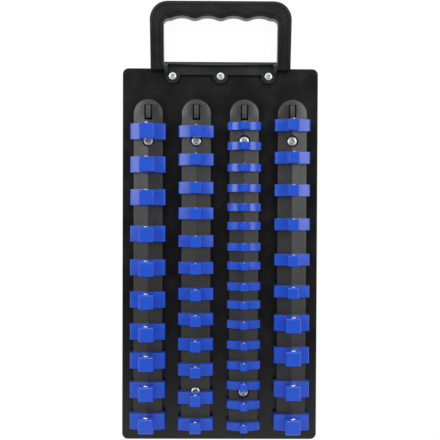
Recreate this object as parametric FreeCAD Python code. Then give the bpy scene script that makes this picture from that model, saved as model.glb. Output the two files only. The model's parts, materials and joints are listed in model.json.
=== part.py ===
import FreeCAD, Part
import math
import os

# A portable panel that holds loose sockets. One moulded panel carries four rails, each rail carries
# sliding clips with a square post and a sprung ball, and a carry handle folds on a bracket at one end.
# The panel lies on its back. X runs across it, Y runs along the rails towards the handle, Z is up,
# and the origin is at the middle of the bounding box, on the surface that the panel lies on.

# Panel: a face, a skirt all round, and a ribbed back with screw bosses
panel_width = 167.8
panel_length = 319.8
panel_depth = 12.0
panel_wall = 2.5
panel_corner_radius = 5.0
edge_bevel = 1.4
edge_crown = 0.6
border_width = 3.4
border_step = 0.5
rib_wall = 1.6
rib_foot_gap = 4.0
boss_wall = 2.2
boss_foot_gap = 1.5
cross_rib_shares = (0.0,)

# Handle: a flat bow with finger grooves, and a lug at the foot of each leg
handle_reach = 56.4
handle_width = 120.8
leg_width = 11.65
leg_splay_outside = 0.8
leg_splay_inside = 0.45
handle_back_height = 8.0
handle_corner_radius = 15.8
handle_inner_radius = 4.3
grip_depth = 15.2
groove_depth = 2.3
groove_count = 4
groove_tip_share = 0.33
handle_chamfer = 1.5
handle_top_bevel = 3.1
handle_top_bevel_share = 0.55
lug_radius = 3.7
lug_lift = 0.3
lug_overlap = 2.4
heel_clearance = 0.1

# Hinge pins: one at each side, tight in the bracket and free in the leg
pin_diameter = 3.0
pin_leg_depth = 7.0
pin_clearance = 0.06
pin_seat_gap = 0.02

# Bracket: a floor with three ears, a wall along the hinge line and a rib at each end
bracket_gap = 0.35
bracket_barrel_radius = 3.7
bracket_end_rib = 3.1
bracket_bar_width = 7.2
bracket_floor = 3.0
bracket_front_height = 4.6
bracket_shoulder = 4.6
bracket_wall = 2.4
bracket_wall_bow = 0.7
ear_radius = 5.9
ear_drop = 1.2

# Rails: a roof with two flanges on a hollow foot
rail_count = 4
rail_side_margin = 10.2
rail_width = 24.6
rail_bottom_margin = 9.3
rail_top_margin = 27.5
roof_ridge = 8.5
roof_shoulder = 6.6
roof_edge = 6.3
roof_strip = 2.8
flange_underside = 4.1
foot_width = 17.0
foot_wall = 2.0
foot_ceiling = 5.0
end_wall = 1.2
tongue_width = 4.0
tongue_slot = 1.25
tongue_setback = 16.25
tongue_length = 11.9
tongue_rise = 0.9

# Rail screws, sunk in a recess so that the clips pass over them
rail_screw_shank = 4.0
rail_screw_length = 13.5
rail_screw_head = 9.2
rail_screw_head_height = 2.9
rail_screw_top_inset = 35.2
rail_screw_bottom_inset = 33.0
recess_diameter = 10.2
recess_floor = 4.4
screw_pad_length = 15.0

# Handle screws
handle_screw_shank = 3.5
handle_screw_length = 11.0
handle_screw_head = 7.1
handle_screw_head_height = 2.3
handle_screw_spacing = 41.0

# Screws of either kind
screw_hole_clearance = 0.2
screw_pilot_gap = 0.02
head_facets = 10
shank_facets = 6
boss_facets = 8

# Clips: a saddle that wraps the flanges of a rail, with a square post on top. The two larger kinds
# have a gable parallel to the rail's roof, the smallest is arched
clip_body_height = 13.5
clip_arch_radius = 24.0
clip_side_wall = 2.45
clip_lip_reach = 2.6
clip_foot_height = 1.5
clip_end_share = 0.96
run_clearance = 0.2
stop_gap = 0.05
post_tip_share = 0.105

half_inch_post = 12.7
half_inch_length = 13.5
half_inch_post_height = 13.6
half_inch_ball = 5.4
half_inch_ball_drop = 3.9

three_eighth_post = 9.5
three_eighth_length = 10.0
three_eighth_post_height = 9.9
three_eighth_ball = 4.0
three_eighth_ball_drop = 2.9

quarter_inch_post = 6.35
quarter_inch_length = 6.6
quarter_inch_post_height = 6.6
quarter_inch_ball = 3.0
quarter_inch_ball_drop = 2.2
quarter_inch_width_cut = 1.45

# Sprung balls: how far a ball stands out, and its bore, as shares of the ball's diameter
ball_out_share = 0.26
bore_mouth_share = 0.94
bore_width_share = 1.08
bore_depth_share = 0.7
spring_width_share = 0.62
ball_facets = 6
spring_facets = 4

# Places of the clips along a rail: 0 is against the end wall and 1 is against the tongue
first_rail_shares = (0.003, 0.109, 0.209, 0.307, 0.415, 0.524, 0.638, 0.761, 0.871, 0.982)
second_rail_shares = (0.0, 0.089, 0.183, 0.268, 0.352, 0.436, 0.523, 0.612, 0.704, 0.789, 0.883, 0.976)
third_rail_shares = (0.0, 0.071, 0.135, 0.202, 0.269, 0.337, 0.402, 0.462, 0.530, 0.592, 0.661, 0.722,
                     0.785, 0.852, 0.923, 0.988)
fourth_rail_lower_shares = (0.0, 0.113, 0.228, 0.338)
fourth_rail_upper_shares = (0.445, 0.551, 0.669, 0.782, 0.890, 0.998)

# One overrun serves every cut
overrun = 1.0

# Places that follow from the sizes above
overall_length = panel_length + handle_reach
panel_foot_y = -overall_length / 2
panel_top_y = panel_foot_y + panel_length
panel_middle_y = (panel_foot_y + panel_top_y) / 2
handle_top_y = panel_top_y + handle_reach
face_z = panel_depth
ceiling_z = panel_depth - panel_wall

rail_foot_y = panel_foot_y + rail_bottom_margin
rail_top_y = panel_top_y - rail_top_margin
rail_half = rail_width / 2
rail_pitch = (panel_width - 2 * rail_side_margin - rail_width) / (rail_count - 1)
rail_xs = [(index - (rail_count - 1) / 2) * rail_pitch for index in range(rail_count)]
outer_left, inner_left, inner_right, outer_right = rail_xs
rail_screw_ys = (rail_foot_y + rail_screw_bottom_inset, rail_top_y - rail_screw_top_inset)
run_foot_y = rail_foot_y + end_wall
run_top_y = rail_top_y - tongue_setback

hinge_z = face_z + lug_lift + lug_radius
hinge_y = panel_top_y - lug_overlap + lug_radius
handle_front_z = hinge_z + lug_radius
handle_half = handle_width / 2
lug_half = handle_half - leg_splay_outside
inner_turn_x = handle_half - leg_width - handle_inner_radius
groove_pitch = 2 * inner_turn_x / groove_count
leg_inner_x = handle_half - leg_width - leg_splay_inside

bracket_half = leg_inner_x - bracket_gap
bracket_foot_y = hinge_y - bracket_bar_width
ear_y = bracket_foot_y - ear_drop
handle_screw_xs = (-handle_screw_spacing, 0, handle_screw_spacing)

up = FreeCAD.Vector(0, 0, 1)
along = FreeCAD.Vector(0, 1, 0)
across = FreeCAD.Vector(1, 0, 0)


def vec(x, y, z):
    return FreeCAD.Vector(x, y, z)


def block(x0, x1, y0, y1, z0, z1):
    return Part.makeBox(x1 - x0, y1 - y0, z1 - z0, vec(x0, y0, z0))


def fused(pieces):
    whole = pieces[0]
    if len(pieces) > 1:
        whole = whole.multiFuse(pieces[1:])
    return whole.removeSplitter()


def prism(points, travel):
    """A solid from a closed run of points, moved along a vector."""
    return Part.Face(Part.makePolygon(points + points[:1])).extrude(travel)


def rounded_prism(width, length, radius, middle_y, z0, z1):
    """An upright prism with rounded corners, centred across the panel."""
    body = block(-width / 2, width / 2, middle_y - length / 2, middle_y + length / 2, z0, z1)
    corners = [edge for edge in body.Edges if edge.Vertexes[0].Z != edge.Vertexes[-1].Z]
    return body.makeFillet(radius, corners)


def cylinder(x, y, radius, z0, z1):
    return Part.makeCylinder(radius, z1 - z0, vec(x, y, z0), up)


def stadium(x, half_width, y0, y1, z0, z1):
    """An upright prism that is square at its foot and half round at its top end."""
    turn_y = y1 - half_width
    left = vec(x - half_width, turn_y, z0)
    right = vec(x + half_width, turn_y, z0)
    round_end = Part.Arc(right, vec(x, y1, z0), left).toShape()
    sides = Part.makePolygon([left, vec(x - half_width, y0, z0), vec(x + half_width, y0, z0), right])
    outline = Part.Wire([round_end] + sides.Edges)
    return Part.Face(outline).extrude(up * (z1 - z0))


def faceted(rings):
    """A solid with flat facets between rings of points, closed by a flat face at each end."""
    count = len(rings[0])
    faces = []
    for low, high in zip(rings, rings[1:]):
        for index in range(count):
            after = (index + 1) % count
            corners = [low[index], low[after], high[after], high[index]]
            faces.append(Part.Face(Part.makePolygon(corners + corners[:1])))
    for ring in (rings[0], rings[-1]):
        faces.append(Part.Face(Part.makePolygon(ring + ring[:1])))
    solid = Part.Solid(Part.Shell(faces))
    if solid.Volume < 0:
        solid.reverse()
    return solid


def ring(centre, radius, second, count):
    """A regular ring of points about a centre, in the plane of X and a second direction."""
    points = []
    for index in range(count):
        turn = 2 * math.pi * (index + 1 / 2) / count
        points.append(centre + across * (radius * math.cos(turn)) + second * (radius * math.sin(turn)))
    return points


def upright(x, y, radius, z0, z1, count):
    """An upright prism with a regular outline."""
    return faceted([ring(vec(x, y, z0), radius, along, count), ring(vec(x, y, z1), radius, along, count)])


def screw(x, y, seat_z, shank, length, head, head_height):
    """A pan head screw that points down, with its head resting at seat_z."""
    cap = upright(x, y, head / 2, seat_z, seat_z + head_height, head_facets)
    return fused([cap, upright(x, y, shank / 2, seat_z - length, seat_z, shank_facets)])


def top_edges(shape):
    """The edges that lie in a shape's top face."""
    top_z = shape.BoundBox.ZMax
    return [edge for edge in shape.Edges if edge.BoundBox.ZMin > top_z - edge_crown / 2]


def panel():
    edge_z = face_z - border_step
    shell = rounded_prism(panel_width, panel_length, panel_corner_radius, panel_middle_y, 0, edge_z)
    for size in (edge_bevel, edge_crown):
        shell = shell.makeChamfer(size, top_edges(shell))
    plateau = rounded_prism(
        panel_width - 2 * border_width,
        panel_length - 2 * border_width,
        max(panel_corner_radius - border_width, border_step),
        panel_middle_y,
        ceiling_z,
        face_z,
    )
    hollow = rounded_prism(
        panel_width - 2 * panel_wall,
        panel_length - 2 * panel_wall,
        max(panel_corner_radius - panel_wall, border_step),
        panel_middle_y,
        -overrun,
        ceiling_z - border_step,
    )
    shell = fused([shell, plateau]).cut(hollow)
    ribs = []
    rib_half = rib_wall / 2
    inner_x = panel_width / 2 - panel_wall / 2
    inner_foot_y = panel_foot_y + panel_wall / 2
    inner_top_y = panel_top_y - panel_wall / 2
    top_z = ceiling_z - border_step / 2
    for x in rail_xs:
        ribs.append(block(x - rib_half, x + rib_half, inner_foot_y, inner_top_y, rib_foot_gap, top_z))
    rows = [panel_middle_y + share * panel_length for share in cross_rib_shares]
    for y in rows + list(rail_screw_ys) + [ear_y]:
        ribs.append(block(-inner_x, inner_x, y - rib_half, y + rib_half, rib_foot_gap, top_z))
    bosses = []
    pilots = []
    for x, y, shank in screw_places():
        bosses.append(upright(x, y, shank / 2 + boss_wall, boss_foot_gap, top_z, boss_facets))
        pilot = shank / 2 + screw_pilot_gap
        pilots.append(upright(x, y, pilot, -overrun, face_z + overrun, shank_facets))
    whole = fused([shell] + ribs + bosses)
    return whole.cut(Part.makeCompound(pilots))


def screw_places():
    """Every screw's place on the panel, with the diameter of its shank."""
    places = [(x, y, rail_screw_shank) for x in rail_xs for y in rail_screw_ys]
    places += [(x, ear_y, handle_screw_shank) for x in handle_screw_xs]
    return places


def rail(x):
    inner_shoulder = rail_half - roof_strip
    section = [
        (-rail_half, flange_underside),
        (-rail_half, roof_edge),
        (-inner_shoulder, roof_shoulder),
        (0, roof_ridge),
        (inner_shoulder, roof_shoulder),
        (rail_half, roof_edge),
        (rail_half, flange_underside),
    ]
    length = rail_top_y - rail_foot_y
    roof = prism([vec(x + px, rail_foot_y, face_z + pz) for px, pz in section], along * length)
    rounded = stadium(x, rail_half, rail_foot_y, rail_top_y, face_z, face_z + roof_ridge)
    roof = roof.common(rounded)
    foot_half = foot_width / 2
    foot_top_y = rail_top_y - (rail_half - foot_half)
    foot = stadium(x, foot_half, rail_foot_y, foot_top_y, face_z, face_z + foot_ceiling)
    stop_wall = block(
        x - rail_half, x + rail_half, rail_foot_y, run_foot_y, face_z, face_z + flange_underside
    )
    body = fused([roof, foot, stop_wall])
    inner_half = foot_half - foot_wall
    pad_half = screw_pad_length / 2
    hollow_ys = [run_foot_y]
    for y in rail_screw_ys:
        hollow_ys += [y - pad_half, y + pad_half]
    hollow_ys.append(foot_top_y - foot_half)
    cuts = []
    for y0, y1 in zip(hollow_ys[::2], hollow_ys[1::2]):
        cuts.append(block(x - inner_half, x + inner_half, y0, y1, face_z - overrun, face_z + foot_ceiling))
    for y in rail_screw_ys:
        hole = rail_screw_shank / 2 + screw_hole_clearance
        roof_z = face_z + roof_ridge + overrun
        cuts.append(upright(x, y, hole, face_z - overrun, roof_z, shank_facets))
        cuts.append(upright(x, y, recess_diameter / 2, face_z + recess_floor, roof_z, head_facets))
    slot_inner = tongue_width / 2
    slot_outer = slot_inner + tongue_slot
    slot_foot_y = run_top_y - tongue_slot
    slot_top_y = run_top_y + tongue_length
    slot_z0 = face_z + foot_ceiling - overrun
    slot_z1 = face_z + roof_ridge + overrun
    for side in (-1, 1):
        x0, x1 = sorted((x + side * slot_inner, x + side * slot_outer))
        cuts.append(block(x0, x1, slot_foot_y, slot_top_y, slot_z0, slot_z1))
    cuts.append(block(x - slot_outer, x + slot_outer, slot_foot_y, run_top_y, slot_z0, slot_z1))
    body = body.cut(Part.makeCompound(cuts))
    base_z = face_z + foot_ceiling
    tip_z = face_z + roof_ridge + tongue_rise
    ramp_side = [
        vec(x - slot_inner, run_top_y, base_z),
        vec(x - slot_inner, run_top_y, tip_z),
        vec(x - slot_inner, slot_top_y, face_z + roof_shoulder),
        vec(x - slot_inner, slot_top_y, base_z),
    ]
    ramp = prism(ramp_side, across * tongue_width)
    return fused([body, ramp])


def rail_screws():
    seat_z = face_z + recess_floor
    return Part.makeCompound([
        screw(x, y, seat_z, rail_screw_shank, rail_screw_length, rail_screw_head, rail_screw_head_height)
        for x in rail_xs
        for y in rail_screw_ys
    ])


def handle_screws():
    seat_z = face_z + bracket_floor
    return Part.makeCompound([
        screw(
            x,
            ear_y,
            seat_z,
            handle_screw_shank,
            handle_screw_length,
            handle_screw_head,
            handle_screw_head_height,
        )
        for x in handle_screw_xs
    ])


def bracket():
    barrel = bracket_barrel_radius
    slope_y = hinge_y - bracket_shoulder
    centre = vec(-bracket_half, hinge_y, hinge_z)
    low = centre + vec(0, 0, -barrel)
    far = centre + vec(0, barrel, 0)
    high = centre + vec(0, 0, barrel)
    nose = Part.Arc(low, far, high).toShape()
    back = Part.makePolygon([
        high,
        vec(-bracket_half, slope_y, high.z),
        vec(-bracket_half, bracket_foot_y, face_z + bracket_front_height),
        vec(-bracket_half, bracket_foot_y, face_z),
        vec(-bracket_half, panel_top_y - border_width, face_z),
        low,
    ])
    body = Part.Face(Part.Wire([nose] + back.Edges)).extrude(across * (2 * bracket_half))
    wall_y = hinge_y + barrel - bracket_wall
    pocket_x = bracket_half - bracket_end_rib
    low_z = face_z + bracket_floor
    bowed = Part.Arc(
        vec(pocket_x, wall_y, low_z),
        vec(0, wall_y - bracket_wall_bow, low_z),
        vec(-pocket_x, wall_y, low_z),
    ).toShape()
    mouth_y = bracket_foot_y - overrun
    sides = Part.makePolygon([
        vec(-pocket_x, wall_y, low_z),
        vec(-pocket_x, mouth_y, low_z),
        vec(pocket_x, mouth_y, low_z),
        vec(pocket_x, wall_y, low_z),
    ])
    pocket = Part.Face(Part.Wire([bowed] + sides.Edges)).extrude(up * (high.z - low_z + overrun))
    ears = [cylinder(x, ear_y, ear_radius, face_z, low_z) for x in handle_screw_xs]
    whole = fused([body.cut(pocket)] + ears)
    cuts = []
    for x in handle_screw_xs:
        hole = handle_screw_shank / 2 + screw_hole_clearance
        cuts.append(upright(x, ear_y, hole, face_z - overrun, low_z + overrun, shank_facets))
    pin_hole = pin_diameter / 2 + pin_seat_gap
    for side in (-1, 1):
        start = vec(side * (pocket_x - overrun), hinge_y, hinge_z)
        cuts.append(
            Part.makeCylinder(pin_hole, bracket_end_rib + 2 * overrun, start, across * side)
        )
    return whole.cut(Part.makeCompound(cuts))


def hinge_pins():
    pins = []
    for side in (-1, 1):
        inner_x = bracket_half - bracket_end_rib
        outer_x = leg_inner_x + pin_leg_depth - pin_clearance
        start = vec(side * inner_x, hinge_y, hinge_z)
        pins.append(Part.makeCylinder(pin_diameter / 2, outer_x - inner_x, start, across * side))
    return Part.makeCompound(pins)


def grip_wave():
    """The finger grooves, as arcs from the right end of the grip to the left, tangent where they meet."""
    tip_y = handle_top_y - grip_depth
    reach = (groove_pitch ** 2 / 4 + groove_depth ** 2) / (2 * groove_depth)
    tip_radius = reach * groove_tip_share
    groove_radius = reach - tip_radius
    groove_y = tip_y + groove_depth
    z = handle_back_height

    def join(tip_x, side):
        """Where the arc of a tip meets the arc of the groove at that side of it."""
        mid_x = tip_x + side * groove_pitch / 2
        centre = vec(tip_x, tip_y + tip_radius, z)
        other = vec(mid_x, groove_y - groove_radius, z)
        return centre + (other - centre) * (tip_radius / reach)

    edges = []
    right_x = groove_count * groove_pitch / 2
    for index in range(groove_count + 1):
        tip_x = right_x - index * groove_pitch
        first = vec(tip_x, tip_y, z) if index == 0 else join(tip_x, 1)
        last = vec(tip_x, tip_y, z) if index == groove_count else join(tip_x, -1)
        if index == 0 or index == groove_count:
            centre = vec(tip_x, tip_y + tip_radius, z)
            middle = (first + last) / 2 - centre
            middle.normalize()
            edges.append(Part.Arc(first, centre + middle * tip_radius, last).toShape())
        else:
            edges.append(Part.Arc(first, vec(tip_x, tip_y, z), last).toShape())
        if index < groove_count:
            start = join(tip_x, -1)
            finish = join(tip_x - groove_pitch, 1)
            crest = vec(tip_x - groove_pitch / 2, groove_y, z)
            edges.append(Part.Arc(start, crest, finish).toShape())
    return edges


def touch_point(point, centre, radius, side):
    """Where a straight line from a point meets a circle as a tangent, at the given side of the circle."""
    reach = point - centre
    turn = math.atan2(reach.y, reach.x) + side * math.acos(radius / reach.Length)
    return centre + vec(radius * math.cos(turn), radius * math.sin(turn), 0)


def corner_arc(start, finish, centre, radius):
    middle = (start + finish) / 2 - centre
    middle.normalize()
    return Part.Arc(start, centre + middle * radius, finish).toShape()


def carry_handle():
    z = handle_back_height
    foot_y = hinge_y - lug_radius - overrun
    edges = grip_wave()
    outer_turn_y = handle_top_y - handle_corner_radius
    outer_turn_x = handle_half - handle_corner_radius
    inner_top_y = handle_top_y - grip_depth
    inner_turn_y = inner_top_y - handle_inner_radius
    for side in (-1, 1):
        inner_centre = vec(side * inner_turn_x, inner_turn_y, z)
        outer_centre = vec(side * outer_turn_x, outer_turn_y, z)
        inner_foot = vec(side * leg_inner_x, hinge_y, z)
        outer_foot = vec(side * lug_half, hinge_y, z)
        inner_top = vec(side * inner_turn_x, inner_top_y, z)
        outer_top = vec(side * outer_turn_x, handle_top_y, z)
        inner_side = touch_point(inner_foot, inner_centre, handle_inner_radius, side)
        outer_side = touch_point(outer_foot, outer_centre, handle_corner_radius, side)
        edges.append(corner_arc(inner_top, inner_side, inner_centre, handle_inner_radius))
        edges.append(corner_arc(outer_side, outer_top, outer_centre, handle_corner_radius))
        leg = [
            inner_side,
            inner_foot,
            vec(side * leg_inner_x, foot_y, z),
            vec(side * lug_half, foot_y, z),
            outer_foot,
            outer_side,
        ]
        edges += Part.makePolygon(leg).Edges
    edges.append(
        Part.LineSegment(vec(outer_turn_x, handle_top_y, z), vec(-outer_turn_x, handle_top_y, z)).toShape()
    )
    outline = Part.Wire(Part.__sortEdges__(edges))
    thickness = handle_front_z - handle_back_height
    bow = Part.Face(outline).extrude(up * thickness)
    soft = [edge for edge in bow.Edges if edge.BoundBox.ZMin > handle_front_z - handle_chamfer / 2]
    bow = bow.makeChamfer(handle_chamfer, soft)
    return bow.common(handle_side()).cut(leg_bores())


def handle_side():
    """The handle's outline seen from the side, as a prism across the whole width."""
    x = -handle_half - overrun
    heel_y = panel_top_y + heel_clearance
    drop = math.sqrt(lug_radius ** 2 - (hinge_y - heel_y) ** 2)
    join = vec(x, heel_y, hinge_z - drop)
    front = vec(x, hinge_y - lug_radius, hinge_z)
    crown = vec(x, hinge_y, handle_front_z)
    lug = Part.Arc(join, front, crown).toShape()
    bevel = handle_top_bevel
    bevel_drop = bevel * handle_top_bevel_share
    rest = Part.makePolygon([
        crown,
        vec(x, handle_top_y - bevel, handle_front_z),
        vec(x, handle_top_y, handle_front_z - bevel_drop),
        vec(x, handle_top_y, handle_back_height + bevel_drop),
        vec(x, handle_top_y - bevel, handle_back_height),
        vec(x, heel_y, handle_back_height),
        join,
    ])
    side = Part.Face(Part.Wire([lug] + rest.Edges))
    return side.extrude(across * (handle_width + 2 * overrun))


def leg_bores():
    bores = []
    for side in (-1, 1):
        start = vec(side * (leg_inner_x - overrun), hinge_y, hinge_z)
        radius = pin_diameter / 2 + pin_clearance
        bores.append(Part.makeCylinder(radius, pin_leg_depth + overrun, start, across * side))
    return Part.makeCompound(bores)


def arch_z(x):
    """Height of an arched clip's top over the panel's face, at a distance from its middle."""
    return clip_body_height - clip_arch_radius + math.sqrt(clip_arch_radius ** 2 - x ** 2)


def gable_z(x):
    """Height of a gabled clip's top over the panel's face: it slopes as the rail's roof does."""
    return clip_body_height - x * (roof_ridge - roof_shoulder) / (rail_half - roof_strip)


def saddle(half_width, post_half, foot_y, length, top_at):
    """The clip's body: a roof over the rail, two side walls and two lips under the flanges."""
    wall_x = rail_half + run_clearance
    lip_x = wall_x - clip_lip_reach
    end_x = half_width * clip_end_share
    edge_z = top_at(half_width) - (half_width - end_x)
    half = [(x, top_at(x)) for x in (post_half, end_x)]
    half += [
        (half_width, edge_z),
        (half_width, clip_foot_height),
        (lip_x, clip_foot_height),
        (lip_x, flange_underside - run_clearance),
        (wall_x, flange_underside - run_clearance),
        (wall_x, roof_edge + run_clearance),
    ]
    inside = [(0, roof_ridge + run_clearance)]
    outline = half + inside + [(-x, z) for x, z in reversed(half)]
    return prism([vec(x, foot_y, face_z + z) for x, z in outline], along * length)


def post(width, height, top_at):
    """The square post, chamfered at its tip."""
    half = width / 2
    chamfer = width * post_tip_share
    low_z = face_z + top_at(half) - chamfer
    top_z = face_z + clip_body_height + height
    body = block(-half, half, -half, half, low_z, top_z)
    tip = [edge for edge in body.Edges if edge.BoundBox.ZMin > top_z - chamfer / 2]
    return body.makeChamfer(chamfer, tip)


def clip(width, length, height, ball, ball_drop, narrowing, top_at):
    """A clip as three solids: the moulding, the ball and the spring behind it."""
    half_width = rail_half + run_clearance + clip_side_wall - narrowing / 2
    ball_z = face_z + clip_body_height + height - ball_drop
    ball_y = width / 2 - ball / 2 + ball * ball_out_share
    bore_end_y = ball_y - ball / 2 - ball * bore_depth_share
    mouth_y = width / 2
    mouth = ball * bore_mouth_share / 2
    end = ball * bore_width_share / 2

    def turned(radius, y, facets=ball_facets):
        """A ring about the ball's axis, which runs along the rail."""
        return ring(vec(0, y, ball_z), radius, up, facets)

    bore = faceted([
        turned(mouth, mouth_y + overrun),
        turned(mouth, mouth_y),
        turned(end, ball_y),
        turned(end, bore_end_y),
    ])
    body = saddle(half_width, width / 2, -width / 2, length, top_at)
    moulding = fused([body, post(width, height, top_at)]).cut(bore)
    flat = math.pi / ball_facets
    crown = ball / 2 * math.sin(flat)
    reach = ball / 2 * math.cos(flat)
    sphere = faceted([
        turned(crown, ball_y - reach),
        turned(ball / 2, ball_y),
        turned(crown, ball_y + reach),
    ])
    spring = faceted([
        turned(ball * spring_width_share / 2, bore_end_y, spring_facets),
        turned(ball * spring_width_share / 2, ball_y - reach, spring_facets),
    ])
    return Part.makeCompound([moulding, sphere, spring])


def place_y(share, length):
    """The foot end of a clip on its rail, from its share of the free run."""
    first = run_foot_y + stop_gap
    last = run_top_y - stop_gap - length
    return first + share * (last - first)


half_inch = (
    half_inch_post,
    half_inch_length,
    half_inch_post_height,
    half_inch_ball,
    half_inch_ball_drop,
    0,
    gable_z,
)
three_eighth = (
    three_eighth_post,
    three_eighth_length,
    three_eighth_post_height,
    three_eighth_ball,
    three_eighth_ball_drop,
    0,
    gable_z,
)
quarter_inch = (
    quarter_inch_post,
    quarter_inch_length,
    quarter_inch_post_height,
    quarter_inch_ball,
    quarter_inch_ball_drop,
    quarter_inch_width_cut,
    arch_z,
)

# Which clips ride on which rail: the kind's name, its sizes, the rail and the places along it
clip_rows = [
    ("half_inch_clip", half_inch, outer_left, first_rail_shares),
    ("half_inch_clip", half_inch, outer_right, fourth_rail_lower_shares),
    ("three_eighth_clip", three_eighth, inner_left, second_rail_shares),
    ("three_eighth_clip", three_eighth, outer_right, fourth_rail_upper_shares),
    ("quarter_inch_clip", quarter_inch, inner_right, third_rail_shares),
]


def clips():
    """Every clip under its own name, counted for each kind from the foot of its first rail."""
    nodes = {}
    counts = {}
    shapes = {}
    for name, sizes, x, shares in clip_rows:
        if name not in shapes:
            shapes[name] = clip(*sizes)
        for share in shares:
            counts[name] = counts.get(name, 0) + 1
            spot = vec(x, place_y(share, sizes[1]) + sizes[0] / 2, 0)
            nodes[f"{name}_{counts[name]:02d}"] = shapes[name].translated(spot)
    return nodes


def build():
    nodes = {"panel": panel()}
    for index, x in enumerate(rail_xs):
        nodes[f"rail_{index + 1}"] = rail(x)
    nodes["rail_screws"] = rail_screws()
    nodes["handle_bracket"] = bracket()
    nodes["handle_screws"] = handle_screws()
    nodes["hinge_pins"] = hinge_pins()
    nodes["carry_handle"] = carry_handle()
    nodes.update(clips())
    os.makedirs("parts", exist_ok=True)
    for name, shape in nodes.items():
        shape.exportStep(f"parts/{name}.step")
        box = shape.BoundBox
        print(name, len(shape.Solids), shape.isValid(), round(shape.Volume),
              [round(v, 2) for v in (box.XMin, box.XMax, box.YMin, box.YMax, box.ZMin, box.ZMax)])


build()
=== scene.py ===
# %% [markdown]
# A socket organizer tray, seen from straight above. It is one black panel with four rails, forty-eight
# sliding clips with a square post each, and a carry handle that folds on a bracket. The sizes and the
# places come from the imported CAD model, which is loaded first as a fixed frame. The pieces that need
# softer edges than the CAD solids are built again here, in the same place, in the same frame.

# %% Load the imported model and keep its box
import json
import math
import bmesh
import bpy
from mathutils import Matrix, Vector

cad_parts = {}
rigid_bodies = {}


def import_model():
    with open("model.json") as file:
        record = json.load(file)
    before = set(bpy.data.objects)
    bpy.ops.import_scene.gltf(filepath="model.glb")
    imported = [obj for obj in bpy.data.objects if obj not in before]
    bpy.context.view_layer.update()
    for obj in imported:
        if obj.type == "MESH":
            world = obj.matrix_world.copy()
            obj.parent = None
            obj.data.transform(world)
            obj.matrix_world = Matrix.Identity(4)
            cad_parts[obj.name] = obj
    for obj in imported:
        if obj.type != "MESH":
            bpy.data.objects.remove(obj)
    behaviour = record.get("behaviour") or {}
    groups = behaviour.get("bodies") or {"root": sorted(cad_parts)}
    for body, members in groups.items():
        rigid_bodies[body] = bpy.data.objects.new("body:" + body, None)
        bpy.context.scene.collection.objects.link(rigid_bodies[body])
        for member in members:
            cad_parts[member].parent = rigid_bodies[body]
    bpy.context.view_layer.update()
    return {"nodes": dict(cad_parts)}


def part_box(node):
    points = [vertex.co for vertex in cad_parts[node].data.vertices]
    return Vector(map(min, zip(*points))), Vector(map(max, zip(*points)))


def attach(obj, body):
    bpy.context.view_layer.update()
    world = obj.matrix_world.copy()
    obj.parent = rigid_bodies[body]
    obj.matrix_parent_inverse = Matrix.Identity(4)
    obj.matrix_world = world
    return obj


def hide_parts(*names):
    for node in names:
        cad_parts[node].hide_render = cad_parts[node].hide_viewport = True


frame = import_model()

# %% [markdown]
# All sizes below are written in millimetres, as a moulder's drawing has them, and one factor turns them
# to metres where a mesh is made. A solid is made from its outline: the outline of a moulding is what its
# drawing gives, and moving it along an axis makes the body. Cutting and joining is left to Blender's exact
# Boolean, and a Bevel modifier then rounds every sharp edge, because moulded plastic has no sharp edge and
# it is the small rounding that catches a line of light.

# %% Sizes in millimetres and meshes from points
MM = 0.001
# Points that are nearer to each other than this are one point
WELD = 0.01 * MM


def solid(name, points, faces):
    """An object whose mesh is one closed skin, with its faces pointing outwards."""
    mesh = bpy.data.meshes.new(name)
    mesh.from_pydata([Vector(point) * MM for point in points], [], faces)
    skin = bmesh.new()
    skin.from_mesh(mesh)
    bmesh.ops.remove_doubles(skin, verts=skin.verts, dist=WELD)
    bmesh.ops.recalc_face_normals(skin, faces=skin.faces)
    skin.to_mesh(mesh)
    skin.free()
    obj = bpy.data.objects.new(name, mesh)
    bpy.context.scene.collection.objects.link(obj)
    return obj


def loft(name, rings):
    """A solid whose skin runs through rings of points, closed by a flat face at each end."""
    count = len(rings[0])
    points = [point for ring in rings for point in ring]
    faces = [list(range(count)), [len(points) - count + i for i in range(count)]]
    for level in range(len(rings) - 1):
        base = level * count
        for i in range(count):
            after = (i + 1) % count
            faces.append([base + i, base + after, base + count + after, base + count + i])
    return solid(name, points, faces)


def prism(name, outline, axis, low, high):
    """A flat outline moved along an axis, from one level to another."""
    place = {
        "x": lambda a, b, level: (level, a, b),
        "y": lambda a, b, level: (a, level, b),
        "z": lambda a, b, level: (a, b, level),
    }[axis]
    return loft(name, [[place(a, b, level) for a, b in outline] for level in (low, high)])


def box(name, x0, x1, y0, y1, z0, z1):
    return prism(name, [(x0, y0), (x1, y0), (x1, y1), (x0, y1)], "z", z0, z1)


def arc(centre, radius, start, finish, steps):
    """Points along an arc, with its angles in degrees."""
    points = []
    for i in range(steps + 1):
        turn = math.radians(start + (finish - start) * i / steps)
        points.append((centre[0] + radius * math.cos(turn), centre[1] + radius * math.sin(turn)))
    return points


def lathe(name, profile, steps, middle=(0, 0, 0), axis="z"):
    """A solid of revolution from a run of (radius, level) pairs."""
    place = {"z": lambda x, y, level: (x, y, level), "y": lambda x, y, level: (x, level, y)}[axis]
    rings = []
    for radius, level in profile:
        circle = arc((0, 0), max(radius, 0.001), 0, 360 * (steps - 1) / steps, steps - 1)
        rings.append([Vector(place(x, y, level)) + Vector(middle) for x, y in circle])
    return loft(name, rings)


def rolled_edge(radius, top, degrees):
    """Pairs of inset and level that roll the side of a loft over to its top."""
    return [(radius - radius * math.cos(math.radians(t)), top - radius + radius * math.sin(math.radians(t)))
            for t in degrees]


# %% Cut, join, round and settle
def settle(obj):
    """Turn what the modifiers make into the object's own plain mesh."""
    shown = obj.evaluated_get(bpy.context.evaluated_depsgraph_get())
    mesh = bpy.data.meshes.new_from_object(shown)
    old = obj.data
    obj.modifiers.clear()
    obj.data = mesh
    bpy.data.meshes.remove(old)
    return obj


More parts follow.
